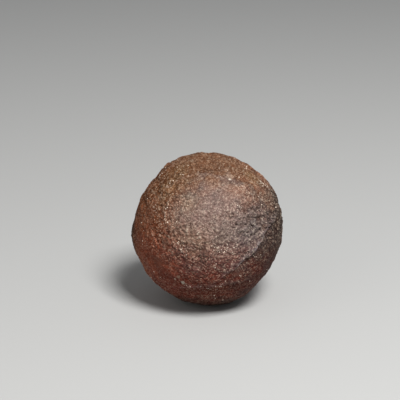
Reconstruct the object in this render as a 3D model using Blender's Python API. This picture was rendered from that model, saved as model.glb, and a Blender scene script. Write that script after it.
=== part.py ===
"""A moqui marble: a ball of sandstone grown solid with iron oxide, standing on a small flat spot.

The stone is one piece, so it is one solid. An even ball of triangles is made first. Each of its
vertices is then moved in or out along its own line from the centre, by the sum of the stone's
forms: broad swells, ledges where one layer of crust ends on another, cracks, pits and lumps.
The underside is last pressed flat on the plane that the stone stands on.
"""

import math
from typing import NamedTuple

import bmesh
import bpy
from mathutils import Vector, noise

# Driving dimensions, in metres. +Z is up, -Y is the front and +X the right.
MM = 0.001
WIDTH = 50.0 * MM
DEPTH = 49.4 * MM
HEIGHT = 50.2 * MM  # of the whole ball, before its underside is pressed flat
FLAT_SPOT_DIAMETER = 12.0 * MM

# The even ball: an icosahedron ball of 80 triangles, each cut into 121.
BALL_SUBDIVISIONS = 2
CUTS_PER_EDGE = 10

# The lumps of the crust, as (distance from lump to lump, height). Each size of lump takes its
# heights from its own place in the noise, that far from the next one's.
LUMP_PLACES_APART = 10
LUMPS = (
    (11.0 * MM, 0.30 * MM),
    (5.5 * MM, 0.32 * MM),
    (3.4 * MM, 0.24 * MM),
)
CRUST_COLOUR = (0.098, 0.050, 0.033, 1.0)
CRUST_ROUGHNESS = 0.62


class Swell(NamedTuple):
    """A broad rise, or a flat where the height is negative."""

    azimuth: float  # degrees round the stone from the front, towards the right
    elevation: float  # degrees above the centre
    spread: float  # degrees from its middle to where it has faded to a third
    height: float


class Ledge(NamedTuple):
    """The edge of a layer of crust: a ring round an axis, inside which the surface lies lower."""

    azimuth: float  # the axis, as for a swell
    elevation: float
    opening: float  # degrees from the axis to the edge
    drop: float  # how much lower the surface lies just inside the edge
    lip: float  # how far the edge stands proud
    recovery: float  # degrees over which the inside comes back to the ball
    wander: float  # degrees by which the edge strays from its ring
    middle: tuple = (0, 0)  # azimuth and elevation of the place where the ledge is clearest
    reach: float = 0.0  # degrees from there to where it has faded to a third; 0 for no fading


class Pit(NamedTuple):
    """A small round hollow."""

    azimuth: float
    elevation: float
    radius: float
    depth: float


class Crack(NamedTuple):
    """A short furrow from one direction to another."""

    start: tuple  # azimuth and elevation
    end: tuple
    width: float
    depth: float


SWELLS = {
    "left shoulder": Swell(-90, -7, 12, 1.05 * MM),
    "left flank": Swell(-84, 28, 13, -0.15 * MM),
    "rust hollow": Swell(-56, 14, 13, -0.20 * MM),
    "crown": Swell(-135, 62, 21, 0.65 * MM),
    "above the notch": Swell(-117, 51, 6, 0.50 * MM),
    "crown flat": Swell(122, 54, 9, -0.60 * MM),
    "right shoulder": Swell(98, 24, 13, -0.35 * MM),
    "right flat": Swell(84, -18, 24, -1.25 * MM),
    "lower right flat": Swell(70, -42, 18, -1.15 * MM),
    "brow": Swell(22, 34, 22, 0.30 * MM),
    "rim crest": Swell(31, 6, 11, 0.25 * MM),
    "back swell": Swell(165, 12, 24, 0.35 * MM),
    "back flat": Swell(-140, 20, 18, -0.45 * MM),
}
LEDGES = {
    "rim": Ledge(108, -53, 79.2, 1.05 * MM, 0.27 * MM, 30, 1.4, (56, 6), 58),
    "under rim": Ledge(24, -74, 46.0, 0.45 * MM, 0.08 * MM, 20, 5.0, (-4, -32), 34),
    "flank edge": Ledge(-77, 4, 42.0, 0.22 * MM, 0.06 * MM, 22, 4.0, (-52, 34), 34),
    "brow edge": Ledge(174, -17, 129.2, 0.14 * MM, 0.06 * MM, 18, 4.0, (-18, 65), 42),
    "back scale": Ledge(160, 30, 24.0, 0.35 * MM, 0.08 * MM, 20, 4.0),
}
PITS = {
    "bald patch": Pit(-37, 5, 2.6 * MM, 0.35 * MM),
    "brow pit": Pit(18, 25, 2.0 * MM, 0.50 * MM),
    "cheek pit": Pit(1, 11, 1.8 * MM, 0.40 * MM),
    "right pit": Pit(36, 12, 2.3 * MM, 0.45 * MM),
    "notch": Pit(-107, 40, 2.9 * MM, 1.15 * MM),
    "crown chip": Pit(62, 56, 2.0 * MM, 0.35 * MM),
    "right crack pit": Pit(37, 28, 1.9 * MM, 0.50 * MM),
    "right edge pit": Pit(56, 25, 1.9 * MM, 0.45 * MM),
    "back pit": Pit(-150, -12, 2.8 * MM, 0.50 * MM),
    "back pit above": Pit(140, 46, 2.2 * MM, 0.40 * MM),
}
CRACKS = {
    "front furrow": Crack((-6, 8), (-8, -10), 1.6 * MM, 0.35 * MM),
    "upper furrow": Crack((-16, 48), (-13, 34), 1.6 * MM, 0.25 * MM),
    "notch furrow": Crack((-104, 42), (-78, 47), 1.8 * MM, 0.30 * MM),
    "right furrow": Crack((24, 14), (46, 8), 1.8 * MM, 0.30 * MM),
    "back furrow": Crack((170, 30), (-165, 6), 1.8 * MM, 0.35 * MM),
}

MEAN_RADIUS = (WIDTH + DEPTH + HEIGHT) / 3 / 2
EDGE_WIDTH = 1.1 * MM  # over which a ledge drops
LIP_WIDTH = 1.3 * MM  # from the edge to the top of its lip, and on to where a third is left
WANDER_LENGTH = 9.0 * MM  # along the edge, from one stray to the next


def direction(azimuth, elevation):
    """The unit vector that points that way from the centre."""
    turn, rise = math.radians(azimuth), math.radians(elevation)
    return Vector(
        (math.sin(turn) * math.cos(rise), -math.cos(turn) * math.cos(rise), math.sin(rise))
    )


def smooth_step(value):
    """0 below -0.5, 1 above 0.5 and an even S between them."""
    t = min(max(value + 0.5, 0.0), 1.0)
    return t * t * (3 - 2 * t)


def bell(value):
    """1 at 0, a third at 1 and nothing far away."""
    return math.exp(-value * value * math.log(3))


def swell_height(way, swell):
    """How far the swell lifts the surface in that direction. The other forms' heights are alike."""
    away = way.angle(direction(swell.azimuth, swell.elevation))
    return swell.height * bell(away / math.radians(swell.spread))


def ledge_height(way, ledge):
    away = way.angle(direction(ledge.azimuth, ledge.elevation))
    stray = noise.noise(way * MEAN_RADIUS / WANDER_LENGTH + Vector((ledge.opening, 0, 0)))
    inside = math.radians(ledge.opening + ledge.wander * stray) - away
    fade = math.exp(-max(inside, 0) / math.radians(ledge.recovery))
    drop = ledge.drop * smooth_step(inside * MEAN_RADIUS / EDGE_WIDTH) * fade
    outside = -inside * MEAN_RADIUS / LIP_WIDTH
    height = ledge.lip * bell(outside - 1) - drop
    if ledge.reach:
        height *= bell(way.angle(direction(*ledge.middle)) / math.radians(ledge.reach))
    return height


def pit_height(way, pit):
    away = way.angle(direction(pit.azimuth, pit.elevation)) * MEAN_RADIUS
    return -pit.depth * bell(away / pit.radius) ** 2


def crack_height(way, crack):
    start, end = direction(*crack.start), direction(*crack.end)
    along = end - start
    share = min(max((way - start).dot(along) / along.length_squared, 0.0), 1.0)
    away = (way - start - share * along).length * MEAN_RADIUS
    return -crack.depth * bell(2 * away / crack.width)


def lump_height(way):
    total = 0.0
    for number, (spacing, height) in enumerate(LUMPS):
        place = way * MEAN_RADIUS / (spacing / 2)
        total += height * noise.noise(place + Vector((0, 0, number * LUMP_PLACES_APART)))
    return total


def stone_radius(way):
    """How far the surface is from the centre in that direction. The foot keeps the plain ball."""
    plain = 1 / Vector(
        (2 * way.x / WIDTH, 2 * way.y / DEPTH, 2 * way.z / HEIGHT)
    ).length
    relief = (
        sum(swell_height(way, swell) for swell in SWELLS.values())
        + sum(ledge_height(way, ledge) for ledge in LEDGES.values())
        + sum(pit_height(way, pit) for pit in PITS.values())
        + sum(crack_height(way, crack) for crack in CRACKS.values())
        + lump_height(way)
    )
    from_foot = way.angle(Vector((0, 0, -1))) * MEAN_RADIUS
    return plain + relief * (1 - bell(from_foot / (FLAT_SPOT_DIAMETER / 2)))


def make_ball():
    """An even ball of radius 1."""
    ball = bmesh.new()
    bmesh.ops.create_icosphere(ball, subdivisions=BALL_SUBDIVISIONS, radius=1.0)
    bmesh.ops.subdivide_edges(ball, edges=ball.edges[:], cuts=CUTS_PER_EDGE, use_grid_fill=True)
    for vertex in ball.verts:
        vertex.co.normalize()
    return ball


def press_flat_spot(ball):
    """Presses the underside flat, so far up that the flat spot is as wide as it should be."""
    foot_height = -math.sqrt((HEIGHT / 2) ** 2 - (FLAT_SPOT_DIAMETER / 2) ** 2)
    for vertex in ball.verts:
        vertex.co.z = max(vertex.co.z, foot_height)


def stand_at_origin(ball):
    """Puts the middle of the stone's outline over the origin, and its flat spot on Z = 0."""
    lows = [min(vertex.co[axis] for vertex in ball.verts) for axis in range(3)]
    highs = [max(vertex.co[axis] for vertex in ball.verts) for axis in range(3)]
    foot = Vector(((lows[0] + highs[0]) / 2, (lows[1] + highs[1]) / 2, lows[2]))
    bmesh.ops.translate(ball, verts=ball.verts[:], vec=-foot)


def crust_material():
    material = bpy.data.materials.new("iron_oxide_crust")
    material.use_nodes = True
    shader = material.node_tree.nodes["Principled BSDF"]
    shader.inputs["Base Color"].default_value = CRUST_COLOUR
    shader.inputs["Roughness"].default_value = CRUST_ROUGHNESS
    shader.inputs["Metallic"].default_value = 0.0
    return material


def make_stone():
    ball = make_ball()
    for vertex in ball.verts:
        vertex.co *= stone_radius(vertex.co)
    press_flat_spot(ball)
    stand_at_origin(ball)
    bmesh.ops.recalc_face_normals(ball, faces=ball.faces[:])
    mesh = bpy.data.meshes.new("moqui_marble")
    ball.to_mesh(mesh)
    ball.free()
    mesh.shade_smooth()
    mesh.materials.append(crust_material())
    stone = bpy.data.objects.new("moqui_marble", mesh)
    bpy.context.scene.collection.objects.link(stone)
    return stone


def clear_scene():
    for item in list(bpy.data.objects):
        bpy.data.objects.remove(item, do_unlink=True)


clear_scene()
make_stone()
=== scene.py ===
"""The looks of a moqui marble, a round concretion of sandstone bound with iron oxide.

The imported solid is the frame. A skin with the crust's fine relief takes the solid's place, and loose
sand grains are set into it. A floor, lights and a camera stand round it for a plain studio view.
"""

import math
from typing import NamedTuple

import bmesh
import bpy
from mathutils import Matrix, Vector, noise


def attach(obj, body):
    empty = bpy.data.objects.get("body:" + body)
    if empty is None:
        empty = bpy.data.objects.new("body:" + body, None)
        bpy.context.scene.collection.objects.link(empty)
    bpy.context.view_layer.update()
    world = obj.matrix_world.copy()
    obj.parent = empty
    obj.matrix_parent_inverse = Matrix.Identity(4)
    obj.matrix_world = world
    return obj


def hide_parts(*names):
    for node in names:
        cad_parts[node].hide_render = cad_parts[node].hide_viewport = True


bl_info = {
    "name": "Moqui marble",
    "version": (1, 0, 0),
    "blender": (4, 5, 0),
    "location": "3D View > Sidebar > Moqui marble",
    "description": "Makes the crust and the sand grains of a moqui marble, and a studio for it",
    "category": "Object",
}

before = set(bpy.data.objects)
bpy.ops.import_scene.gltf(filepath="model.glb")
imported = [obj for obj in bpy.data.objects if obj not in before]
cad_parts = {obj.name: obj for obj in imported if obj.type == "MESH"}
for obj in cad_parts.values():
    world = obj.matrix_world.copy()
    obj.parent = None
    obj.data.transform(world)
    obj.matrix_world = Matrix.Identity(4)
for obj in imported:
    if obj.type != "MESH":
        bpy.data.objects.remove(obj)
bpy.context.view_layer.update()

MM = 0.001
STONE_NODE = "moqui_marble"
BODY = "root"

# The ball that the stone grew as. Its middle lies beside the middle of the stone's outline.
BALL_CENTRE = Vector((0.9, 0.1, 24.4)) * MM
BALL_RADIUS = 25.0 * MM


# ------------------------------------------------------------------------------- forms of the crust


class Ledge(NamedTuple):
    """The edge of a layer of crust: a ring round an axis, undercut where it drops."""

    azimuth: float  # degrees of the axis from the front, towards the right
    elevation: float
    opening: float  # degrees from the axis to the edge
    wander: float  # degrees by which the edge strays from its ring
    undercut: float  # depth of the groove under the edge
    shown: float  # how far the crust is rubbed pale with a painted highlight above the edge, and bared darker with painted shade below it
    middle: tuple  # azimuth and elevation of the place where the ledge is clearest
    reach: float  # degrees from there to where it has faded to a third


LEDGES = (
    Ledge(108, -53, 79.2, 1.4, 0.75 * MM, 0.90, (38, 3), 30),
    Ledge(24, -74, 46.0, 5.0, 0.25 * MM, 0.25, (-4, -32), 26),
    Ledge(-77, 4, 42.0, 4.0, 0.10 * MM, 0.0, (-52, 34), 34),
    Ledge(174, -17, 129.2, 4.0, 0.10 * MM, 0.15, (-18, 65), 42),
    Ledge(160, 30, 24.0, 4.0, 0.30 * MM, 0.6, (160, 30), 60),
)
WANDER_LENGTH = 9.0 * MM  # along an edge, from one stray to the next
CRUMBLE_LENGTH = 1.9 * MM  # along an edge, from one broken stretch to the next
CRUMBLE_DEPTH = 0.9 * MM  # how far the edge is broken back there
EDGE_ROUNDING = (-0.2 * MM, 0.3 * MM)  # from where to where, across the edge, it turns down
GROOVE_FROM_EDGE = 0.65 * MM
GROOVE_HALF_WIDTH = 0.55 * MM
WORN_AND_LIT_WIDTH = 1.6 * MM  # how far the pale rub and painted highlight reach beside an edge
BARED_AND_SHADED_WIDTH = 4.5 * MM  # how far the darker layer and painted shade under an edge reach


class Furrow(NamedTuple):
    """A narrow crack in the crust from one direction to another."""

    start: tuple  # azimuth and elevation
    end: tuple
    width: float
    depth: float


FURROWS = (
    Furrow((-6, 8), (-8, -10), 0.8 * MM, 0.30 * MM),
    Furrow((-22, 55), (-14, 38), 0.8 * MM, 0.22 * MM),
    Furrow((24, 14), (46, 8), 0.9 * MM, 0.22 * MM),
    Furrow((33, 36), (37, 26), 0.8 * MM, 0.30 * MM),
    Furrow((14, 27), (26, 22), 0.9 * MM, 0.30 * MM),
    Furrow((-104, 42), (-78, 47), 1.0 * MM, 0.35 * MM),
    Furrow((170, 30), (-165, 6), 1.0 * MM, 0.32 * MM),
    Furrow((120, 20), (138, 2), 0.9 * MM, 0.28 * MM),
)
LINE_STRAY = 1.2 * MM  # by which furrows and drifts stray from their lines
LINE_STRAY_LENGTH = 3 * MM  # along a line, from one stray to the next


class Drift(NamedTuple):
    """Clean sand grains, pale partly as painted glints, that have come out of the crust along a line,
    or round one spot.
    """

    start: tuple  # azimuth and elevation
    end: tuple
    radius: float  # from the line to where there are a third as many


DRIFTS = (
    Drift((-30, 68), (-19, 68), 0.35 * MM),
    Drift((-52, 59), (-40, 62), 0.45 * MM),
    Drift((-84, 50), (-88, 54), 0.6 * MM),
    Drift((-55, 43), (-50, 52), 0.6 * MM),
    Drift((-56, 31), (-54, 27), 0.7 * MM),
    Drift((-41, 34), (-38, 20), 0.6 * MM),
    Drift((40, 50), (44, 43), 0.5 * MM),
    Drift((76, 62), (92, 62), 0.6 * MM),
    Drift((70, 48), (78, 40), 0.7 * MM),
    Drift((-39, 1), (-31, 2), 0.5 * MM),
    Drift((-25, 8), (-17, 2), 0.9 * MM),
    Drift((26, 33), (30, 38), 0.5 * MM),
    Drift((4, 6), (16, 5), 0.8 * MM),
    Drift((2, -5), (8, -8), 0.6 * MM),
    Drift((-26, -19), (-20, -27), 0.4 * MM),
    Drift((-24, -29), (-13, -27), 0.35 * MM),
    Drift((-31, -35), (-29, -35), 0.4 * MM),
    Drift((-8, -29), (12, -29), 0.6 * MM),
    Drift((22, -18), (26, -24), 0.6 * MM),
    Drift((150, 40), (168, 52), 0.6 * MM),
    Drift((136, 24), (142, 10), 0.7 * MM),
    Drift((-170, -6), (-150, -12), 0.6 * MM),
    Drift((-128, 26), (-116, 20), 0.7 * MM),
    Drift((110, -20), (124, -16), 0.6 * MM),
)


class Bald(NamedTuple):
    """A spot where the crust is smooth, with neither folds nor grains."""

    azimuth: float
    elevation: float
    radius: float


BALD_SPOTS = (
    Bald(-36, 7, 1.5 * MM),
    Bald(-43, -11, 2.2 * MM),
    Bald(22, -17, 2.2 * MM),
    Bald(-150, 50, 1.5 * MM),
    Bald(120, -38, 1.6 * MM),
)


class Pit(NamedTuple):
    """A deep pit where a grain or a clump of them has fallen out."""

    azimuth: float
    elevation: float
    radius: float


PITS = (
    Pit(-39, 11, 0.55 * MM),
    Pit(-34.5, 11, 0.5 * MM),
    Pit(31.5, 29, 0.75 * MM),
    Pit(52.5, 29.5, 0.7 * MM),
    Pit(17.5, 27, 0.6 * MM),
    Pit(14, 22, 0.5 * MM),
    Pit(50, 21.5, 0.7 * MM),
    Pit(39, 21, 0.65 * MM),
    Pit(25, 25, 0.55 * MM),
    Pit(42, 32, 0.55 * MM),
    Pit(23, 15, 0.5 * MM),
    Pit(-11.5, 31, 0.5 * MM),
    Pit(-26, 43, 0.45 * MM),
    Pit(-30, 5, 0.5 * MM),
    Pit(-18, 8, 0.5 * MM),
    Pit(-8, 4, 0.5 * MM),
    Pit(140, 28, 0.7 * MM),
    Pit(152, 16, 0.6 * MM),
    Pit(-170, 22, 0.7 * MM),
    Pit(-140, 6, 0.6 * MM),
    Pit(108, 4, 0.6 * MM),
)
PIT_DEPTH = 0.70 * MM


class Region(NamedTuple):
    """A part of the crust that is smoother or rougher than the rest."""

    azimuth: float
    elevation: float
    radius: float
    folds: float  # how high its folds are, as a share of the rest's
    crags: float  # how far it is broken into crags
    grain: float  # how far its sand grains stand out, as a share of the rest's


MOST_GRAIN = 1.1  # how far the grains stand out at most, on the same scale
REGIONS = (
    Region(12, 38, 11 * MM, 0.25, 0.0, 0.85),
    Region(-20, 80, 13 * MM, 0.35, 0.0, 0.70),
    Region(-44, 34, 8 * MM, 1.30, 0.0, 1.15),
    Region(-34, 8, 7 * MM, 1.50, 0.15, 1.40),
    Region(-12, 4, 8 * MM, 1.30, 0.30, 1.20),
    Region(38, 24, 6.5 * MM, 1.20, 1.00, 1.70),
    Region(56, 17, 6 * MM, 1.10, 0.90, 1.60),
    Region(21, 25, 3.5 * MM, 1.10, 0.50, 1.50),
    Region(36, 3, 5 * MM, 0.60, 0.10, 1.30),
    Region(22, -9, 5 * MM, 0.60, 0.05, 1.30),
    Region(-74, 4, 11 * MM, 0.70, 0.0, 0.60),
    Region(-42, -20, 11 * MM, 0.60, 0.0, 0.45),
    Region(50, -30, 12 * MM, 0.60, 0.0, 0.45),
    Region(64, -13, 7 * MM, 0.60, 0.0, 0.45),
    Region(0, -62, 15 * MM, 0.60, 0.0, 0.60),
    Region(146, 20, 9 * MM, 1.20, 0.90, 1.60),
    Region(-160, 16, 8 * MM, 1.50, 0.15, 1.30),
    Region(-120, -6, 8 * MM, 0.50, 0.0, 0.80),
)


class Stain(NamedTuple):
    """A patch of another colour, soft or sharp at its edge."""

    azimuth: float
    elevation: float
    radius: float
    edge: float  # the width over which it fades
    strength: float
    polish: float  # how far the crust is polished there, by wind and sand
    colour: str


STAINS = {
    "warm crown": Stain(-15, 78, 14 * MM, 10 * MM, 0.90, 0.10, "#6B462D"),
    "face": Stain(7, 20, 15 * MM, 13 * MM, 0.90, 0.80, "#81685F"),
    "lower face": Stain(10, 4, 7 * MM, 8 * MM, 0.40, 0.4, "#7E6356"),
    "cheek": Stain(-16, 2, 8 * MM, 9 * MM, 0.75, 0.4, "#8B654B"),
    "dusky face": Stain(10, 13, 3 * MM, 4 * MM, 0.85, 0.5, "#5E483E"),
    "rust flank": Stain(-72, 4, 16 * MM, 12 * MM, 0.95, 0.0, "#764126"),
    "rust shoulder": Stain(-44, -22, 14 * MM, 11 * MM, 0.85, 0.0, "#84432E"),
    "olive left": Stain(-60, 52, 7 * MM, 8 * MM, 0.75, 0.0, "#74502E"),
    "tan left": Stain(-52, 35, 3 * MM, 5 * MM, 0.30, 0.0, "#946D4F"),
    "ochre right": Stain(70, 52, 3.2 * MM, 4 * MM, 0.60, 0.0, "#705230"),
    "olive dust": Stain(-20, 38, 3.0 * MM, 5 * MM, 0.35, 0.3, "#89765C"),
    "umber right": Stain(72, 20, 11 * MM, 11 * MM, 0.85, 0.20, "#60473B"),
    "slate right": Stain(38, 14, 8 * MM, 11 * MM, 0.70, 0.45, "#736562"),
    "slate above the rim": Stain(30, 11, 4 * MM, 4 * MM, 0.80, 0.2, "#60514E"),
    # Maroon crust, darker towards the bottom as painted shade.
    "maroon underside with painted shade": Stain(14, -56, 25 * MM, 10 * MM, 0.95, 0.0, "#65291B"),
    # A painted shadow on the foot, where the stone stands.
    "painted shadow at the foot": Stain(10, -78, 13 * MM, 9 * MM, 0.90, 0.0, "#2C130C"),
    # Painted shade along the stone's sides, and on the upper left side rust as well.
    "painted shade on the left side": Stain(-98, -3, 8 * MM, 7 * MM, 0.85, 0.0, "#422819"),
    "painted shade on the upper right side": Stain(86, 15, 9 * MM, 8 * MM, 0.85, 0.0, "#2C211B"),
    "rust and painted shade on the upper left side": Stain(-88, 40, 9 * MM, 8 * MM, 0.80, 0.0, "#673818"),
    "painted shade on the right side": Stain(72, -10, 10 * MM, 7 * MM, 0.90, 0.0, "#33201A"),
    "bald patch": Stain(-36, 7, 1.4 * MM, 0.9 * MM, 0.85, 0.0, "#5E3A2C"),
    "bald patch below": Stain(-43, -11, 2.0 * MM, 1.6 * MM, 0.50, 0.0, "#6E4231"),
    # Painted shade on the face below the rim, which turns away from the light.
    "painted shade below the rim": Stain(54, -9, 7 * MM, 5 * MM, 0.85, 0.0, "#341C16"),
    "painted shade under the rim": Stain(46, -30, 9 * MM, 8 * MM, 0.85, 0.0, "#3F1A14"),
    "bald patch painted shade under the rim": Stain(22, -17, 2.0 * MM, 1.6 * MM, 0.80, 0.0, "#5E382C"),
    "beige patch": Stain(31, 61, 1.1 * MM, 1.6 * MM, 0.55, 0.0, "#B39580"),
    "beige patch above": Stain(33, 67, 0.9 * MM, 1.6 * MM, 0.45, 0.0, "#A98A74"),
    "white fleck": Stain(29, 58, 0.45 * MM, 0.4 * MM, 0.90, 0.0, "#E2D2C0"),
    "pale chip above": Stain(-25, -20, 0.6 * MM, 0.8 * MM, 0.45, 0.0, "#86806E"),
    "pale chip": Stain(-22, -25, 0.8 * MM, 0.8 * MM, 0.75, 0.0, "#98978A"),
    "bald patch behind": Stain(-150, 50, 1.4 * MM, 1.2 * MM, 0.80, 0.0, "#54362A"),
    "bald patch low behind": Stain(120, -38, 1.5 * MM, 1.4 * MM, 0.80, 0.0, "#4A2A1F"),
    "umber behind": Stain(118, 22, 9 * MM, 9 * MM, 0.75, 0.0, "#634839"),
    "back rust": Stain(150, -8, 13 * MM, 10 * MM, 0.85, 0.0, "#76402A"),
    "back ochre": Stain(-160, 38, 7 * MM, 7 * MM, 0.65, 0.0, "#7C5633"),
    "back grey": Stain(-124, -4, 10 * MM, 9 * MM, 0.75, 0.6, "#5C4A42"),
    "back face": Stain(168, 34, 10 * MM, 10 * MM, 0.70, 0.8, "#806457"),
}
BARED_AND_SHADED_COLOUR = "#341C15"  # of the darker layer under an edge, darkened further as painted shade
# A pale grey rub along an edge's top, lighter still as a painted highlight where the edge catches the
# light.
WORN_AND_LIT_COLOUR = "#8D8388"
SANDY_COLOUR = "#8E7A68"  # of a grain in the crust that has lost part of its coat
# Clean quartz, near white, partly as a painted glint.
CLEAN_SAND_AND_GLINT_COLOUR = "#EEDCC8"

# What hollows leave of the crust's red, green and blue, as painted shade that is also redder, so their
# rust looks the deepest in colour.
GAP_SHADE = (0.46, 0.35, 0.31, 1.0)
HOLLOW_SHADE = (0.88, 0.81, 0.79, 1.0)

# The crust grew in layers, and its folds run round this direction, azimuth and elevation. Their
# noise is read from a space that is drawn together to the first share, and then drawn out by the
# second one away from that direction.
FOLDS_ROUND = (9, 36)
STRATA_ROUND = 0.70
STRATA_AWAY = 0.45
STRATA_STRAY = 1.5 * MM  # by which the layers stray
BROAD_STRAY_LENGTH = 4 * MM
FINE_STRAY_LENGTH = 1.6 * MM
FINE_STRAY = 0.4  # of the fine strays, as a share of the broad ones

STRAY_SEED = 5  # chooses the place in the noise that noise_vector reads, for all that strays
CRAG_STRAY = 0.5 * MM
CRAG_STRAY_LENGTH = 1.3 * MM
PIT_STRAY = 0.35 * MM

# Folds are lower in patches, small pits come in patches, and so does the rusty sand. Each pattern
# is read from its own place in the noise, so that none follows another.
LOWEST_FOLDS = 0.6  # as a share of the highest ones' depth
FOLD_PATCH_SIZE = 12 * MM
PIT_PATCH_SIZE = 10 * MM
GRIT_PATCH_SIZE = 5 * MM
FOLD_PATCHES_AT = Vector((7, 3, 1))
PIT_PATCHES_AT = Vector((1, 8, 4))
GRIT_PATCHES_AT = Vector((3, 9, 2))
FINE_FOLDS_AT = Vector((5, 0, 2))
STRAY_GLINT = 0.04  # how thickly clean grains lie away from their drifts

# A cell's centre times one of these gives the cell a value of its own, from -1 to 1.
OWN_DEPTH = 37.0
OWN_WIDTH = 53.0
SHALLOWEST_PIT = 0.35  # as a share of the deepest one's depth, and a cell with less has no pit

# The tone of a middling grain of the crust, as a share of its colour, and the palest grain's tone
# as a multiple of the darkest one's in red, green and blue: pale grains are the less rusty ones.
MIDDLE_TONE = 0.86
PALEST_TO_DARKEST = (2.9, 3.7, 4.1)

# The skin: each edge of the solid's triangles is cut into four, and the facets are rubbed smooth.
CUTS_PER_EDGE = 3
SMOOTHING_PASSES = 4
MERGE_DISTANCE = 0.001 * MM
PLAIN_FOOT = 0.3 * MM  # the crust is plain up to this height above the flat spot
FOOT_HEIGHT = 0.9 * MM  # and has its whole relief from this one on
MOST_TRIANGLES = 200_000  # in one piece

# The loose grains, each a bead with its own width along each of its axes.
SUNK = 0.12  # how deep a grain's middle lies in the crust, as a share of its size
NARROWEST, WIDEST = 0.55, 1.15  # as a share of its size
RUSTY_SEED = 11
CLEAR_SEED = 23

MOTTLE_SIZE = 4.5 * MM  # from one mottle of the crust to the next
RAGGEDNESS = 1.3  # how far a stain's edge follows the mottles, as a share of its width
RUBBED_AND_LIT_PART_SIZE = 8 * MM  # from one part whose fold tops are much rubbed and lit with a painted highlight to the next
GRAIN_ROUGHNESS = 0.58


# --------------------------------------------------------------------------------- sizes of the studio

# The view is square, and the ball stands in it with its centre this far across and down.
VIEW_PIXELS = 400
BALL_PIXELS = 152  # the ball's width in the view
BALL_AT_PIXEL = (209.8, 229.3)
SENSOR_MM = 36.0
NEAREST_SEEN = 10 * MM

FLOOR_RADIUS = 2.5
FLOOR_CORNERS = 96
FLOOR_GAP = 0.05 * MM  # so that the floor doesn't lie in the plane of the flat spot
FLOOR_ROUGHNESS = 0.9
STIPPLE_SIZE = 1.5 * MM
STIPPLE_HEIGHT = 0.05 * MM
SURROUNDINGS_COLOUR = "#E4E6EA"
SURROUNDINGS_STRENGTH = 0.28


class Lamp(NamedTuple):
    """A square soft light that shines on the stone from one direction."""

    azimuth: float
    elevation: float
    distance: float
    width: float
    tint: str


KEY_LAMP = Lamp(28, 55, 0.8, 0.26, "#FFFFFF")
FILL_LAMP = Lamp(-50, 25, 1.0, 0.8, "#FFF6EE")


# ------------------------------------------------------------------------------------ shared functions


def direction(azimuth, elevation):
    """The unit vector that points that way from the ball's centre. Azimuth 0 is the front, -Y."""
    turn, rise = math.radians(azimuth), math.radians(elevation)
    return Vector(
        (math.sin(turn) * math.cos(rise), -math.cos(turn) * math.cos(rise), math.sin(rise))
    )


def bell(value):
    """1 at 0, a third at 1 and nothing far away."""
    return math.exp(-value * value * math.log(3))


def between(low, high, value):
    """0 at or below low, 1 at or above high and an even S between them."""
    t = min(max((value - low) / (high - low), 0.0), 1.0)
    return t * t * (3 - 2 * t)


def linear(hex_colour):
    """An sRGB hex colour as the linear RGBA that shaders take."""
    channels = [int(hex_colour[place : place + 2], 16) / 255 for place in (1, 3, 5)]
    return (
        *(
            channel / 12.92 if channel <= 0.04045 else ((channel + 0.055) / 1.055) ** 2.4
            for channel in channels
        ),
        1.0,
    )


# ------------------------------------------------------------------------------------------ settings


def length(name, description, default):
    return bpy.props.FloatProperty(
        name=name, description=description, default=default, min=0.0, unit="LENGTH", precision=5
    )


def colour(name, description, default):
    return bpy.props.FloatVectorProperty(
        name=name,
        description=description,
        default=linear(default),
        min=0.0,
        max=1.0,
        size=4,
        subtype="COLOR",
    )


class CrustSettings(bpy.types.PropertyGroup):
    """The relief and the colours of the crust."""

    stray_seed: bpy.props.IntProperty(
        name="Stray seed",
        description="Which of the many ways the folds, crags, cracks and pits stray",
        default=STRAY_SEED,
        min=1,
    )
    fold_spacing: length("Fold spacing", "From one broad fold to the next", 3.0 * MM)
    fold_depth: length("Fold depth", "How deep the creases between broad folds are", 0.24 * MM)
    fine_fold_depth: length("Fine fold depth", "How deep the finer creases are", 0.08 * MM)
    crag_size: length("Crag size", "Width of a crag where the crust is broken", 2.0 * MM)
    crag_depth: length("Crag depth", "How deep the gaps between crags are", 1.35 * MM)
    pit_spacing: length("Pit spacing", "From one pit to the next", 1.6 * MM)
    pit_depth: length("Pit depth", "How deep the deepest pits are", 0.30 * MM)
    crease_spacing: length("Crease spacing", "From one fine crease to the next", 1.3 * MM)
    crease_depth: length("Crease depth", "How deep the fine creases are", 0.12 * MM)
    knob_size: length("Knob size", "Width of the small knobs of the crust", 1.3 * MM)
    knob_depth: length("Knob depth", "How deep the gaps between the knobs are", 0.46 * MM)
    rubble_size: length("Rubble size", "Width of the largest small bumps", 1.5 * MM)
    rubble_height: length("Rubble height", "How far they stand out", 0.40 * MM)
    grain_size: length("Grain size", "Width of a sand grain in the crust", 0.37 * MM)
    brown: colour("Crust brown", "The crust's own colour", "#82543A")
    dark_brown: colour("Dark brown", "The crust in its darker mottles", "#5F4132")
    pale_brown: colour("Pale brown", "The crust where it is rubbed or dusty", "#88695A")


class GrainSettings(bpy.types.PropertyGroup):
    """The loose sand grains that stand out of the crust."""

    rusty_gap: length("Rusty grain gap", "Least distance from one to the next", 0.66 * MM)
    rusty_size: length("Rusty grain size", "Width of a rust-coated grain", 0.36 * MM)
    clear_gap: length("Clear grain gap", "Least distance from one to the next", 0.45 * MM)
    clear_size: length("Clear grain size", "Width of a clean quartz grain", 0.47 * MM)


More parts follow.
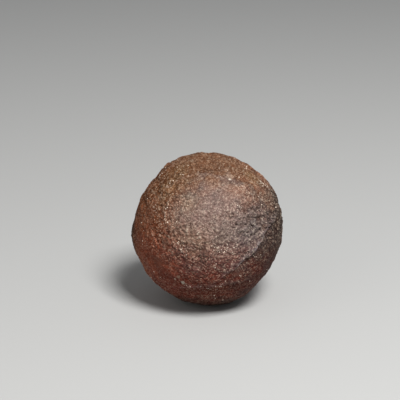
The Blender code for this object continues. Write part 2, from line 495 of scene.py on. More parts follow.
class StudioSettings(bpy.types.PropertyGroup):
    """The floor, the lights and the camera."""

    floor_colour: colour("Floor colour", "The plain pale floor", "#B4B4B2")
    camera_elevation: bpy.props.FloatProperty(
        name="Camera elevation",
        description="How far the camera looks down",
        default=math.radians(20),
        subtype="ANGLE",
    )
    camera_distance: length("Camera distance", "From the stone to the camera", 500 * MM)
    key_power: bpy.props.FloatProperty(
        name="Key light", description="Power of the main light", default=9.0, min=0.0, unit="POWER"
    )
    fill_power: bpy.props.FloatProperty(
        name="Fill light", description="Power of the soft light", default=1.2, min=0.0, unit="POWER"
    )


# ----------------------------------------------------------------------------------------- materials

MIX_AMOUNT, MIX_UNDER, MIX_OVER, MIX_RESULT = 0, 6, 7, 2  # the colour sockets of a Mix node


def node(tree, kind, inputs=None, stops=(), **settings):
    """Adds a node with its settings, its inputs as values or links, and a ramp's colour stops."""
    made = tree.nodes.new(kind)
    for name, value in settings.items():
        setattr(made, name, value)
    for socket, value in (inputs or {}).items():
        if isinstance(value, bpy.types.NodeSocket):
            tree.links.new(value, made.inputs[socket])
        else:
            made.inputs[socket].default_value = value
    for number, (position, shade) in enumerate(stops):
        elements = made.color_ramp.elements
        element = elements[number] if number < len(elements) else elements.new(position)
        element.position, element.color = position, shade
    return made


def grey(value):
    return (value, value, value, 1.0)


def stain_mask(tree, place, ragged, stain):
    """How much of the stain there is at each place, with its edge made ragged by a noise."""
    centre = BALL_CENTRE + direction(stain.azimuth, stain.elevation) * BALL_RADIUS
    away = node(tree, "ShaderNodeVectorMath", {0: place, 1: centre}, operation="DISTANCE")
    strayed = node(
        tree,
        "ShaderNodeMath",
        {0: ragged, 1: RAGGEDNESS * stain.edge, 2: away.outputs["Value"]},
        operation="MULTIPLY_ADD",
    )
    fade = {
        "Value": strayed.outputs[0],
        "From Min": stain.radius + stain.edge / 2,
        "From Max": stain.radius - stain.edge / 2,
        "To Min": 0.0,
        "To Max": stain.strength,
    }
    return node(tree, "ShaderNodeMapRange", fade, interpolation_type="SMOOTHSTEP").outputs[0]


def crust_shade(tree, place, settings):
    """The colour of the crust at each place, without its grains, and how polished it is there."""
    mottle = node(
        tree,
        "ShaderNodeTexNoise",
        {"Vector": place, "Scale": 1 / MOTTLE_SIZE, "Detail": 5.0, "Roughness": 0.62},
    ).outputs["Fac"]
    ragged = node(tree, "ShaderNodeMath", {0: mottle, 1: 0.5}, operation="SUBTRACT").outputs[0]
    shade = node(
        tree,
        "ShaderNodeValToRGB",
        {"Fac": mottle},
        stops=(
            (0.30, tuple(settings.dark_brown)),
            (0.50, tuple(settings.brown)),
            (0.74, tuple(settings.pale_brown)),
        ),
    ).outputs["Color"]
    polish = 0.0
    for stain in STAINS.values():
        mask = stain_mask(tree, place, ragged, stain)
        mixed = {MIX_AMOUNT: mask, MIX_UNDER: shade, MIX_OVER: linear(stain.colour)}
        shade = node(tree, "ShaderNodeMix", mixed, data_type="RGBA").outputs[MIX_RESULT]
        if stain.polish:
            levels = {0: mask, 1: stain.polish, 2: polish}
            polish = node(
                tree, "ShaderNodeMath", levels, operation="MULTIPLY_ADD", use_clamp=True
            ).outputs[0]
    # The mottles show through the stains.
    levels = node(
        tree,
        "ShaderNodeMapRange",
        {"Value": mottle, "From Min": 0.30, "From Max": 0.70, "To Min": 0.78, "To Max": 1.22},
    ).outputs[0]
    mixed = {MIX_AMOUNT: 1.0, MIX_UNDER: shade, MIX_OVER: levels}
    shade = node(
        tree, "ShaderNodeMix", mixed, data_type="RGBA", blend_type="MULTIPLY"
    ).outputs[MIX_RESULT]
    return shade, polish


def read_marks(tree):
    """What the skin says of the crust at each place, by name."""
    marks = {
        name: node(tree, "ShaderNodeAttribute", attribute_name=name).outputs["Fac"]
        for name in ("relief", "worn_and_lit", "bared_and_shaded", "bald", "grain")
    }
    marks["strata"] = node(tree, "ShaderNodeAttribute", attribute_name="strata").outputs["Vector"]
    return marks


def grain_tone(tree, place, grains, marks):
    """The tone of each grain of the crust: a random one, paler where edges and fold tops are rubbed and
    carry a painted highlight, and darker as painted shade under edges.
    """
    # The tops of the folds are rubbed, in some parts more than in others, and lit paler with a painted
    # highlight.
    parts = node(
        tree, "ShaderNodeTexNoise", {"Vector": place, "Scale": 1 / RUBBED_AND_LIT_PART_SIZE, "Detail": 1.0}
    ).outputs["Fac"]
    rubbed_and_lit_share = node(
        tree,
        "ShaderNodeMapRange",
        {"Value": parts, "From Min": 0.35, "From Max": 0.65, "To Min": 0.1},
    ).outputs[0]
    top = node(
        tree, "ShaderNodeMapRange", {"Value": marks["relief"], "From Min": 0.80, "From Max": 1.0}
    ).outputs[0]
    rubbed_and_lit_tops = node(tree, "ShaderNodeMath", {0: top, 1: rubbed_and_lit_share}, operation="MULTIPLY").outputs[0]
    tone = node(tree, "ShaderNodeSeparateColor", {"Color": grains["Color"]}).outputs["Red"]
    # Grains of a bared layer are darker, as painted shade under the edges.
    for mask, share in ((marks["worn_and_lit"], 0.22), (rubbed_and_lit_tops, 0.16), (marks["bared_and_shaded"], -0.12)):
        tone = node(
            tree, "ShaderNodeMath", {0: mask, 1: share, 2: tone}, operation="MULTIPLY_ADD"
        ).outputs[0]
    return tone


def strata_patterns(tree, strata, settings):
    """The small bumps along the layers of the crust, and the fine creases between them."""
    rubble = node(
        tree,
        "ShaderNodeTexNoise",
        {
            "Vector": strata,
            "Scale": 1 / settings.rubble_size,
            "Detail": 5.0,
            "Roughness": 0.68,
            "Distortion": 0.4,
        },
    ).outputs["Fac"]
    # A crease is where a noise passes through its middle.
    lines = node(
        tree,
        "ShaderNodeTexNoise",
        {"Vector": strata, "Scale": 1 / settings.crease_spacing, "Detail": 2.0, "Roughness": 0.6},
    ).outputs["Fac"]
    off_line = node(tree, "ShaderNodeMath", {0: lines, 1: 0.5}, operation="SUBTRACT").outputs[0]
    off_line = node(tree, "ShaderNodeMath", {0: off_line}, operation="ABSOLUTE").outputs[0]
    crease = node(
        tree,
        "ShaderNodeMapRange",
        {"Value": off_line, "From Min": 0.045, "From Max": 0.0},
        interpolation_type="SMOOTHSTEP",
    ).outputs[0]
    return rubble, crease


def grainy_shade(tree, shade, own_tone, rubble, crease, marks):
    """The crust's colour with each grain's tone on it, with painted shade in its creases, hollows and
    the low parts of its bumps, and lighter tops.
    """
    # The palest grains have lost part of their coat and show their own sand colour.
    uncoated = node(
        tree,
        "ShaderNodeMapRange",
        {"Value": own_tone, "From Min": 0.50, "From Max": 1.15, "To Max": 0.70},
    ).outputs[0]
    uncoated = node(
        tree,
        "ShaderNodeMath",
        {0: uncoated, 1: marks["grain"]},
        operation="MULTIPLY",
        use_clamp=True,
    ).outputs[0]
    mixed = {MIX_AMOUNT: uncoated, MIX_UNDER: shade, MIX_OVER: linear(SANDY_COLOUR)}
    shade = node(tree, "ShaderNodeMix", mixed, data_type="RGBA").outputs[MIX_RESULT]
    # The rougher the crust, the more its grains differ.
    tone = node(tree, "ShaderNodeMath", {0: own_tone, 1: 0.5}, operation="SUBTRACT").outputs[0]
    tone = node(
        tree, "ShaderNodeMath", {0: tone, 1: marks["grain"]}, operation="MULTIPLY"
    ).outputs[0]
    tone = node(
        tree, "ShaderNodeVectorMath", {0: PALEST_TO_DARKEST, 1: tone}, operation="POWER"
    ).outputs[0]
    tone = node(
        tree, "ShaderNodeVectorMath", {0: tone, "Scale": MIDDLE_TONE}, operation="SCALE"
    ).outputs[0]
    layers = [tone]
    # Painted shade and highlight: the bumps lighter at their tops and darker low down, the creases
    # darker, and the hollows darker and redder.
    for level, stops in (
        (rubble, ((0.32, grey(0.86)), (0.50, grey(1.0)), (0.66, grey(1.12)))),
        (crease, ((0.0, grey(1.03)), (1.0, grey(0.72)))),
        (marks["relief"], ((0.0, GAP_SHADE), (0.45, HOLLOW_SHADE), (1.0, grey(1.08)))),
    ):
        ramp = node(tree, "ShaderNodeValToRGB", {"Fac": level}, stops=stops)
        layers.append(ramp.outputs["Color"])
    # A bald spot is free of them all.
    grainy = node(
        tree, "ShaderNodeMath", {0: 1.0, 1: marks["bald"]}, operation="SUBTRACT"
    ).outputs[0]
    for layer in layers:
        mixed = {MIX_AMOUNT: grainy, MIX_UNDER: shade, MIX_OVER: layer}
        shade = node(
            tree, "ShaderNodeMix", mixed, data_type="RGBA", blend_type="MULTIPLY"
        ).outputs[MIX_RESULT]
    return shade


def crust_bump(tree, rubble, crease, grains, grain, settings):
    """Small bumps of every size, the fine creases between them, and each grain a low dome."""
    dome = node(
        tree, "ShaderNodeMapRange", {"Value": grains["Distance"], "From Min": 0.8, "From Max": 0.0}
    ).outputs[0]
    raised = 0.0
    for part, height in (
        (rubble, settings.rubble_height),
        (crease, -settings.crease_depth),
        (dome, settings.grain_size / 2.5),
    ):
        raised = node(
            tree, "ShaderNodeMath", {0: part, 1: height / MM, 2: raised}, operation="MULTIPLY_ADD"
        ).outputs[0]
    raised = node(
        tree, "ShaderNodeMath", {0: raised, 1: grain}, operation="MULTIPLY"
    ).outputs[0]
    bump = node(tree, "ShaderNodeBump", {"Height": raised, "Strength": 1.0, "Distance": MM})
    return bump.outputs["Normal"]


def crust_material(settings):
    """Iron oxide crust: sand grains cemented and coated with hematite and goethite.

    It is rough and dark brown, like a rasp. Where wind and sand have polished the grains' coats, a
    broad light lays a grey-pink sheen on it. The rust of its flanks is dull and earthy; painted shade
    keeps the gaps between the grains and the hollows dark, with painted shade under the edges and a
    painted highlight along them.
    """
    material = bpy.data.materials.new("iron_oxide_crust")
    material.use_nodes = True
    tree = material.node_tree
    shader = tree.nodes["Principled BSDF"]
    place = node(tree, "ShaderNodeTexCoord").outputs["Object"]
    marks = read_marks(tree)
    grains = node(
        tree, "ShaderNodeTexVoronoi", {"Vector": place, "Scale": 1 / settings.grain_size}
    ).outputs
    own_tone = grain_tone(tree, place, grains, marks)
    rubble, crease = strata_patterns(tree, marks["strata"], settings)

    shade, polish = crust_shade(tree, place, settings)
    # Painted shade under the edges on the darker bared layer, and a painted highlight on the pale rub
    # above them.
    for mask, hex_colour in ((marks["bared_and_shaded"], BARED_AND_SHADED_COLOUR), (marks["worn_and_lit"], WORN_AND_LIT_COLOUR)):
        mixed = {MIX_AMOUNT: mask, MIX_UNDER: shade, MIX_OVER: linear(hex_colour)}
        shade = node(tree, "ShaderNodeMix", mixed, data_type="RGBA").outputs[MIX_RESULT]
    shade = grainy_shade(tree, shade, own_tone, rubble, crease, marks)
    tree.links.new(shade, shader.inputs["Base Color"])

    # A polished crust is smoother, and so are the tops and the paler grains.
    roughness = node(
        tree, "ShaderNodeMapRange", {"Value": marks["relief"], "To Min": 0.88, "To Max": 0.74}
    ).outputs[0]
    for amount, share in ((polish, -0.16), (own_tone, -0.10)):
        roughness = node(
            tree, "ShaderNodeMath", {0: amount, 1: share, 2: roughness}, operation="MULTIPLY_ADD"
        ).outputs[0]
    tree.links.new(roughness, shader.inputs["Roughness"])
    gloss = node(
        tree, "ShaderNodeMapRange", {"Value": polish, "To Min": 0.14, "To Max": 0.60}
    ).outputs[0]
    tree.links.new(gloss, shader.inputs["Specular IOR Level"])
    shader.inputs["Metallic"].default_value = 0.0
    normal = crust_bump(tree, rubble, crease, grains, marks["grain"], settings)
    tree.links.new(normal, shader.inputs["Normal"])
    return material


def grain_material(name, coated_below, barest, settings):
    """Quartz sand: rounded frosted grains with a thinner or thicker coat of the crust's iron oxide.

    A coated grain is a dull bead of the crust's own colour, and a clean one a pale bead whose
    near-white colour is partly a painted glint. Grains with a tone under coated_below have their whole
    coat, and barest is how bare the barest are.
    """
    material = bpy.data.materials.new(name)
    material.use_nodes = True
    tree = material.node_tree
    shader = tree.nodes["Principled BSDF"]
    place = node(tree, "ShaderNodeTexCoord").outputs["Object"]
    own_tone = node(tree, "ShaderNodeAttribute", attribute_name="tone").outputs["Fac"]
    shade, polish = crust_shade(tree, place, settings)
    level = node(
        tree, "ShaderNodeMapRange", {"Value": own_tone, "To Min": 0.6, "To Max": 1.1}
    ).outputs[0]
    mixed = {MIX_AMOUNT: 1.0, MIX_UNDER: shade, MIX_OVER: level}
    coat = node(
        tree, "ShaderNodeMix", mixed, data_type="RGBA", blend_type="MULTIPLY"
    ).outputs[MIX_RESULT]
    bare = node(
        tree,
        "ShaderNodeMapRange",
        {"Value": own_tone, "From Min": coated_below, "From Max": 1.0, "To Max": barest},
    ).outputs[0]
    mixed = {MIX_AMOUNT: bare, MIX_UNDER: coat, MIX_OVER: linear(CLEAN_SAND_AND_GLINT_COLOUR)}
    shade = node(tree, "ShaderNodeMix", mixed, data_type="RGBA").outputs[MIX_RESULT]
    tree.links.new(shade, shader.inputs["Base Color"])
    gloss = node(
        tree, "ShaderNodeMapRange", {"Value": polish, "To Min": 0.20, "To Max": 0.55}
    ).outputs[0]
    tree.links.new(gloss, shader.inputs["Specular IOR Level"])
    shader.inputs["Roughness"].default_value = GRAIN_ROUGHNESS
    return material


def floor_material(settings):
    """Matt painted board: even, pale and without gloss, with a faint roller stipple."""
    material = bpy.data.materials.new("matt_painted_board")
    material.use_nodes = True
    tree = material.node_tree
    shader = tree.nodes["Principled BSDF"]
    shader.inputs["Base Color"].default_value = tuple(settings.floor_colour)
    shader.inputs["Roughness"].default_value = FLOOR_ROUGHNESS
    place = node(tree, "ShaderNodeTexCoord").outputs["Object"]
    stipple = node(tree, "ShaderNodeTexNoise", {"Vector": place, "Scale": 1 / STIPPLE_SIZE})
    bump = node(
        tree,
        "ShaderNodeBump",
        {"Height": stipple.outputs["Fac"], "Strength": 0.15, "Distance": STIPPLE_HEIGHT},
    )
    tree.links.new(bump.outputs["Normal"], shader.inputs["Normal"])
    return material


# ------------------------------------------------------------------------------------------ the crust


def ledge_marks(way, ledge):
    """The depth of the groove under a ledge, how far it is worn pale with a painted highlight above,
    and how far it is bared darker with painted shade below.
    """
    axis = direction(ledge.azimuth, ledge.elevation)
    stray = noise.noise(way * BALL_RADIUS / WANDER_LENGTH + Vector((ledge.opening, 0, 0)))
    inside = math.radians(ledge.opening + ledge.wander * stray) - way.angle(axis)
    inside *= BALL_RADIUS
    if inside < -2 * WORN_AND_LIT_WIDTH or inside > 2 * BARED_AND_SHADED_WIDTH:
        return 0.0, 0.0, 0.0
    clear = bell(way.angle(direction(*ledge.middle)) / math.radians(ledge.reach))
    crumbled = noise.noise(way * BALL_RADIUS / CRUMBLE_LENGTH + Vector((0, ledge.opening, 0)))
    inside += CRUMBLE_DEPTH * crumbled
    broken = clear * between(-0.45, 0.25, crumbled)
    groove = broken * ledge.undercut * bell((inside - GROOVE_FROM_EDGE) / GROOVE_HALF_WIDTH)
    shown = clear * ledge.shown
    edge = between(*EDGE_ROUNDING, inside)
    worn_and_lit = shown * (1 - edge) * bell(inside / WORN_AND_LIT_WIDTH) * between(-0.9, 0.3, crumbled)
    bared_and_shaded = shown * edge * bell(inside / BARED_AND_SHADED_WIDTH)
    return groove, worn_and_lit, bared_and_shaded


def distance_to_line(spot, start, end):
    """How far the spot is from the line between two directions' places on the ball."""
    start, end = (direction(*place) * BALL_RADIUS for place in (start, end))
    along = end - start
    share = min(max((spot - start).dot(along) / along.length_squared, 0.0), 1.0)
    return (spot - start - share * along).length


def strata_place(spot):
    """The spot in a space where a noise changes fast away from one direction and slowly round it."""
    middle = direction(*FOLDS_ROUND)
    away = spot.angle(middle) * BALL_RADIUS
    stray = noise.noise_vector(spot / BROAD_STRAY_LENGTH)
    stray += FINE_STRAY * noise.noise_vector(spot / FINE_STRAY_LENGTH)
    return STRATA_ROUND * spot - STRATA_AWAY * away * middle + STRATA_STRAY * stray


def fold_depth(strata, settings):
    """Creases between folds, like those of an elephant's skin, where a noise passes through nothing."""
    broad = abs(noise.noise(strata / (0.5 * settings.fold_spacing)))
    fine = abs(noise.noise(strata / (0.25 * settings.fold_spacing) + FINE_FOLDS_AT))
    return (
        settings.fold_depth * (1 - between(-0.12, 0.30, broad))
        + settings.fine_fold_depth * (1 - between(-0.10, 0.35, fine))
    )


def knob_depth(strata, settings):
    """Small knobs of several sizes with sharp gaps between them."""
    bulge = noise.turbulence(strata / settings.knob_size, 3, True)
    return settings.knob_depth * (1 - between(0.05, 0.55, bulge))


def own_value(centre, trait):
    """A cell's own value for that trait, from -1 to 1."""
    return noise.cell(centre * trait)


def crag_depth(spot, settings):
    """Crags with deep gaps between them, each of its own height, and the highest stand proud."""
    ragged = spot + CRAG_STRAY * noise.noise_vector(spot / CRAG_STRAY_LENGTH)
    distances, centres = noise.voronoi(ragged / settings.crag_size)
    gap = 1 - between(-0.06, 0.28, distances[1] - distances[0])
    return settings.crag_depth * (0.8 * gap + 0.4 * own_value(centres[0], OWN_DEPTH))


def pit_depth(spot, settings):
    """One pit in each cell that has one, ragged, and each of its own width and depth."""
    ragged = spot + PIT_STRAY * noise.noise_vector(spot / (0.6 * settings.pit_spacing))
    distances, centres = noise.voronoi(ragged / settings.pit_spacing)
    depth = own_value(centres[0], OWN_DEPTH)
    if depth < SHALLOWEST_PIT:
        return 0.0
    width = 0.22 + 0.22 * own_value(centres[0], OWN_WIDTH)
    return settings.pit_depth * depth * (1 - between(0.0, width, distances[0]))


def nearness(spot, round_spots):
    """1 in the middle of one of the round spots, a ninth at its radius and nothing far away."""
    return max(
        bell((spot - direction(azimuth, elevation) * BALL_RADIUS).length / radius) ** 2
        for azimuth, elevation, radius in round_spots
    )


def region_levels(spot):
    """How high the folds, how broken the crags and how proud the grains are at that spot."""
    patch = between(-0.3, 0.3, noise.noise(spot / FOLD_PATCH_SIZE + FOLD_PATCHES_AT))
    folds, crags, grain = LOWEST_FOLDS + (1 - LOWEST_FOLDS) * patch, 0.0, 1.0
    for region in REGIONS:
        centre = direction(region.azimuth, region.elevation) * BALL_RADIUS
        share = bell((spot - centre).length / region.radius)
        folds *= 1 + share * (region.folds - 1)
        crags = max(crags, share * region.crags)
        grain *= 1 + share * (region.grain - 1)
    return folds, crags, grain


class Marks(NamedTuple):
    """What the crust is like at one place."""

    depth: float  # under the solid's surface, and less than nothing on the highest crags
    strata: Vector
    # The pale rub with its painted highlight above an edge, and the darker layer with its painted shade
    # below it.
    worn_and_lit: float
    bared_and_shaded: float
    bald: float
    grain: float  # how far the sand grains stand out
    grit: float  # how thickly coated grains stand there
    glint: float  # how thickly clean grains, pale partly as painted glints, stand there


def crust_marks(place, settings):
    """What the crust is like at that place on the solid's surface."""
    spot = place - BALL_CENTRE
    way = spot.normalized()
    strata = strata_place(spot)
    strayed = spot + noise.noise_vector(spot / LINE_STRAY_LENGTH) * LINE_STRAY
    grooves, worn_and_lit, bared_and_shaded = zip(*(ledge_marks(way, ledge) for ledge in LEDGES))
    worn_and_lit, bared_and_shaded = max(worn_and_lit), max(bared_and_shaded)
    bald = nearness(spot, BALD_SPOTS)
    fallen_out = nearness(spot, PITS)
    folds, crags, grain = region_levels(spot)
    pits = between(-0.1, 0.4, noise.noise(spot / PIT_PATCH_SIZE + PIT_PATCHES_AT))
    fine = (
        fold_depth(strata, settings) * folds
        + knob_depth(strata, settings) * grain * (1 - 0.6 * bared_and_shaded) * (1 - 0.5 * worn_and_lit)
        + crag_depth(spot, settings) * crags
        + pit_depth(spot, settings) * pits * folds
        + PIT_DEPTH * fallen_out
    )
    cracks = max(
        furrow.depth * bell(2 * distance_to_line(strayed, furrow.start, furrow.end) / furrow.width)
        for furrow in FURROWS
    )
    depth = fine * (1 - bald) + max(*grooves, cracks)
    patch = noise.noise(spot / GRIT_PATCH_SIZE + GRIT_PATCHES_AT)
    grit = between(-0.5, 0.4, patch) * min(grain, 1.0)
    drift = max(
        bell(distance_to_line(strayed, drift.start, drift.end) / drift.radius) for drift in DRIFTS
    )
    glint = max(drift, STRAY_GLINT * between(0.0, 0.5, patch))
    above_foot = between(PLAIN_FOOT, FOOT_HEIGHT, place.z)
    standing = (1 - bald) * above_foot
    return Marks(
        depth=depth * above_foot,
        strata=strata,
        worn_and_lit=worn_and_lit,
        bared_and_shaded=bared_and_shaded,
        bald=bald,
        grain=min(grain, MOST_GRAIN) * (1 - bald),
        grit=grit * standing * (1 - fallen_out),
        glint=glint * standing,
    )


def make_skin(name, settings):
    """A fine copy of the solid's surface, worked in along its normals to the crust's relief.

    Only the highest crags stand a little above the solid.
    """
    noise.seed_set(settings.stray_seed)  # without it, the time would choose noise_vector's place
    skin = bmesh.new()
    skin.from_mesh(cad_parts[STONE_NODE].data)
    bmesh.ops.remove_doubles(skin, verts=skin.verts[:], dist=MERGE_DISTANCE)
    bmesh.ops.subdivide_edges(
        skin, edges=skin.edges[:], cuts=CUTS_PER_EDGE, use_grid_fill=True
    )
    bmesh.ops.triangulate(skin, faces=[face for face in skin.faces if len(face.verts) > 3])
    for _ in range(SMOOTHING_PASSES):
        bmesh.ops.smooth_vert(
            skin,
            verts=skin.verts[:],
            factor=0.5,
            use_axis_x=True,
            use_axis_y=True,
            use_axis_z=True,
        )
    skin.normal_update()
    kept_marks = ("worn_and_lit", "bared_and_shaded", "bald", "grain", "grit", "glint")
    layers = {mark: skin.verts.layers.float.new(mark) for mark in ("relief", *kept_marks)}
    strata = skin.verts.layers.float_vector.new("strata")
    places = [vertex.co.copy() for vertex in skin.verts]
    normals = [vertex.normal.copy() for vertex in skin.verts]
    # A place this deep is a whole hollow to the material.
    hollow_depth = (
        settings.fold_depth
        + settings.fine_fold_depth
        + 0.5 * settings.knob_depth
        + 0.5 * settings.crag_depth
    )
    for vertex, place, normal in zip(skin.verts, places, normals):
        marks = crust_marks(place, settings)
        vertex.co = place - normal * marks.depth
        vertex.co.z = max(vertex.co.z, 0.0)
        vertex[strata] = marks.strata
        vertex[layers["relief"]] = 1 - min(marks.depth / hollow_depth, 1.0)
        for mark in kept_marks:
            vertex[layers[mark]] = getattr(marks, mark)
    mesh = bpy.data.meshes.new(name)
    skin.to_mesh(mesh)
    skin.free()
    mesh.shade_smooth()
    return mesh


# ------------------------------------------------------------------------------------------ the grains


def grain_scatter(name, thickness, gap, size, seed):
    """Geometry nodes that set grains into a mesh, thicker where the attribute thickness is high."""
    tree = bpy.data.node_groups.new(name, "GeometryNodeTree")
    for in_out in ("INPUT", "OUTPUT"):
        tree.interface.new_socket("Geometry", in_out=in_out, socket_type="NodeSocketGeometry")
    crust = node(tree, "NodeGroupInput").outputs["Geometry"]
    share = node(tree, "GeometryNodeInputNamedAttribute", {"Name": thickness})
    places = node(
        tree,
        "GeometryNodeDistributePointsOnFaces",
        {
            "Mesh": crust,
            "Distance Min": gap,
            "Density Max": 1 / (gap * gap),
            "Density Factor": share.outputs["Attribute"],
            "Seed": seed,
        },
        distribute_method="POISSON",
    )
    sunk = node(
        tree,
        "ShaderNodeVectorMath",
        {0: places.outputs["Normal"], "Scale": -SUNK * size},
        operation="SCALE",
    ).outputs[0]
    points = node(
        tree, "GeometryNodeSetPosition", {"Geometry": places.outputs["Points"], "Offset": sunk}
    ).outputs["Geometry"]
    bead = node(tree, "GeometryNodeMeshIcoSphere", {"Radius": size / 2, "Subdivisions": 1})
    turn = node(
        tree,
        "FunctionNodeRandomValue",
        {0: 3 * (0.0,), 1: 3 * (math.tau,), "Seed": seed + 1},
        data_type="FLOAT_VECTOR",
    ).outputs[0]
    stretch = node(
        tree,
        "FunctionNodeRandomValue",
        {0: 3 * (NARROWEST,), 1: 3 * (WIDEST,), "Seed": seed + 2},
        data_type="FLOAT_VECTOR",
    ).outputs[0]
    grains = node(
        tree,
        "GeometryNodeInstanceOnPoints",
        {"Points": points, "Instance": bead.outputs["Mesh"], "Rotation": turn, "Scale": stretch},
    ).outputs["Instances"]
    own_tone = node(
        tree, "FunctionNodeRandomValue", {"Seed": seed + 3}, data_type="FLOAT"
    ).outputs[1]
    toned = node(
        tree,
        "GeometryNodeStoreNamedAttribute",
        {"Geometry": grains, "Name": "tone", "Value": own_tone},
        data_type="FLOAT",
        domain="INSTANCE",
    ).outputs["Geometry"]
    real = node(tree, "GeometryNodeRealizeInstances", {"Geometry": toned}).outputs["Geometry"]
    node(tree, "NodeGroupOutput", {"Geometry": real})
    return tree


def scatter_grains(name, crust, thickness, gap, size, seed):
    """The mesh of the grains that the scatter sets into the crust."""
    carrier = bpy.data.objects.new(name, crust.data)
    bpy.context.scene.collection.objects.link(carrier)
    scatter = carrier.modifiers.new("scatter", "NODES")
    scatter.node_group = grain_scatter(name, thickness, gap, size, seed)
    evaluated = carrier.evaluated_get(bpy.context.evaluated_depsgraph_get())
    mesh = bpy.data.meshes.new_from_object(evaluated)
    bpy.data.objects.remove(carrier)
    mesh.name = name
    mesh.materials.clear()
    mesh.shade_smooth()
    return mesh


def place_piece(mesh, material):
    """Makes the mesh a piece of the stone, with that material."""
    if len(mesh.polygons) > MOST_TRIANGLES:
        raise RuntimeError(f"{mesh.name} has {len(mesh.polygons)} triangles, which is too many")
    mesh.materials.append(material)
    piece = bpy.data.objects.new(mesh.name, mesh)
    bpy.context.scene.collection.objects.link(piece)
    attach(piece, BODY)
    return piece


# ------------------------------------------------------------------------------------------ the studio


def aim(thing, place, target):
    """Puts a light or camera there and turns it to the target."""
    thing.location = place
    thing.rotation_euler = (target - place).to_track_quat("-Z", "Y").to_euler()
    bpy.context.scene.collection.objects.link(thing)


def make_camera(settings):
    """A camera in front of the stone, aimed so that the ball stands at its place in the view."""
    rise = settings.camera_elevation
    back = Vector((0, -math.cos(rise), math.sin(rise)))
    up = Vector((0, math.sin(rise), math.cos(rise)))
    right = Vector((1, 0, 0))
    pixel = 2 * BALL_RADIUS / BALL_PIXELS
    lens = bpy.data.cameras.new("camera")
    lens.sensor_width = SENSOR_MM
    lens.lens = SENSOR_MM * settings.camera_distance / (VIEW_PIXELS * pixel)
    lens.clip_start = NEAREST_SEEN
    camera = bpy.data.objects.new("camera", lens)
    across, down = BALL_AT_PIXEL
    middle = VIEW_PIXELS / 2
    target = BALL_CENTRE + pixel * (right * (middle - across) + up * (down - middle))
    aim(camera, BALL_CENTRE + back * settings.camera_distance, target)
    bpy.context.scene.camera = camera


def make_light(name, lamp, power):
    data = bpy.data.lights.new(name, "AREA")
    data.size = lamp.width
    data.energy = power
    data.color = linear(lamp.tint)[:3]
    light = bpy.data.objects.new(name, data)
    place = BALL_CENTRE + direction(lamp.azimuth, lamp.elevation) * lamp.distance
    aim(light, place, BALL_CENTRE)


def make_surroundings():
    """Even soft light from all sides."""
    world = bpy.data.worlds.new("studio")
    world.use_nodes = True
    surroundings = world.node_tree.nodes["Background"]
    surroundings.inputs["Color"].default_value = linear(SURROUNDINGS_COLOUR)
    surroundings.inputs["Strength"].default_value = SURROUNDINGS_STRENGTH
    bpy.context.scene.world = world


def make_floor(settings):
    disc = bmesh.new()
    bmesh.ops.create_circle(disc, cap_ends=True, segments=FLOOR_CORNERS, radius=FLOOR_RADIUS)
    bmesh.ops.translate(disc, verts=disc.verts[:], vec=(0, 0, -FLOOR_GAP))
    mesh = bpy.data.meshes.new("floor")
    disc.to_mesh(mesh)
    disc.free()
    mesh.materials.append(floor_material(settings))
    floor = bpy.data.objects.new("floor", mesh)
    bpy.context.scene.collection.objects.link(floor)


# ------------------------------------------------------------------------------------------- operators


class MOQUI_OT_crust(bpy.types.Operator):
    """Makes the crust in place of the plain solid"""

    bl_idname = "moqui.crust"
    bl_label = "Crust"

    def execute(self, context):
        settings = context.scene.moqui_crust
        crust = place_piece(make_skin("crust", settings), crust_material(settings))
        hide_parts(STONE_NODE)
        return {"FINISHED"}


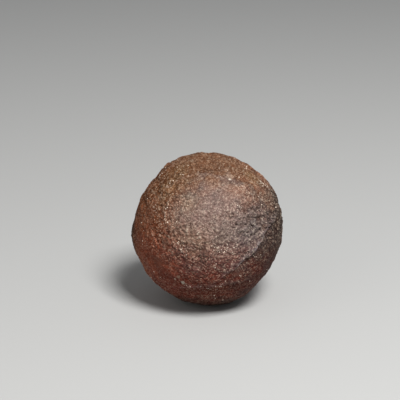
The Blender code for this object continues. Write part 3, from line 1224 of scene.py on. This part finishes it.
class MOQUI_OT_grains(bpy.types.Operator):
    """Sets loose sand grains into the crust, rust-coated ones and clean ones"""

    bl_idname = "moqui.grains"
    bl_label = "Sand grains"

    def execute(self, context):
        crust_settings = context.scene.moqui_crust
        settings = context.scene.moqui_grains
        crust = bpy.data.objects["crust"]
        rusty = scatter_grains(
            "rusty_grains", crust, "grit", settings.rusty_gap, settings.rusty_size, RUSTY_SEED
        )
        coated_sand = grain_material(
            "rust_coated_sand", coated_below=0.95, barest=0.6, settings=crust_settings
        )
        place_piece(rusty, coated_sand)
        clear = scatter_grains(
            "clear_grains", crust, "glint", settings.clear_gap, settings.clear_size, CLEAR_SEED
        )
        clean_sand = grain_material(
            "clean_quartz_sand_and_glints", coated_below=-0.8, barest=1.0, settings=crust_settings
        )
        place_piece(clear, clean_sand)
        return {"FINISHED"}


class MOQUI_OT_studio(bpy.types.Operator):
    """Makes the floor, the lights and the camera"""

    bl_idname = "moqui.studio"
    bl_label = "Studio"

    def execute(self, context):
        settings = context.scene.moqui_studio
        make_floor(settings)
        make_camera(settings)
        make_light("key light", KEY_LAMP, settings.key_power)
        make_light("fill light", FILL_LAMP, settings.fill_power)
        make_surroundings()
        context.scene.view_settings.view_transform = "Standard"
        return {"FINISHED"}


class MOQUI_PT_panel(bpy.types.Panel):
    """Lists what makes the stone, with its settings"""

    bl_idname = "MOQUI_PT_panel"
    bl_label = "Moqui marble"
    bl_space_type = "VIEW_3D"
    bl_region_type = "UI"
    bl_category = "Moqui marble"

    def draw(self, context):
        for group, operator in (
            ("moqui_crust", "moqui.crust"),
            ("moqui_grains", "moqui.grains"),
            ("moqui_studio", "moqui.studio"),
        ):
            settings = getattr(context.scene, group)
            box = self.layout.box()
            for name in settings.__annotations__:
                box.prop(settings, name)
            box.operator(operator)


CLASSES = (
    CrustSettings,
    GrainSettings,
    StudioSettings,
    MOQUI_OT_crust,
    MOQUI_OT_grains,
    MOQUI_OT_studio,
    MOQUI_PT_panel,
)


def register():
    for item in CLASSES:
        bpy.utils.register_class(item)
    bpy.types.Scene.moqui_crust = bpy.props.PointerProperty(type=CrustSettings)
    bpy.types.Scene.moqui_grains = bpy.props.PointerProperty(type=GrainSettings)
    bpy.types.Scene.moqui_studio = bpy.props.PointerProperty(type=StudioSettings)


def unregister():
    del bpy.types.Scene.moqui_studio
    del bpy.types.Scene.moqui_grains
    del bpy.types.Scene.moqui_crust
    for item in reversed(CLASSES):
        bpy.utils.unregister_class(item)


def main():
    register()
    bpy.ops.moqui.crust()
    bpy.ops.moqui.grains()
    bpy.ops.moqui.studio()


if __name__ == "__main__":
    main()
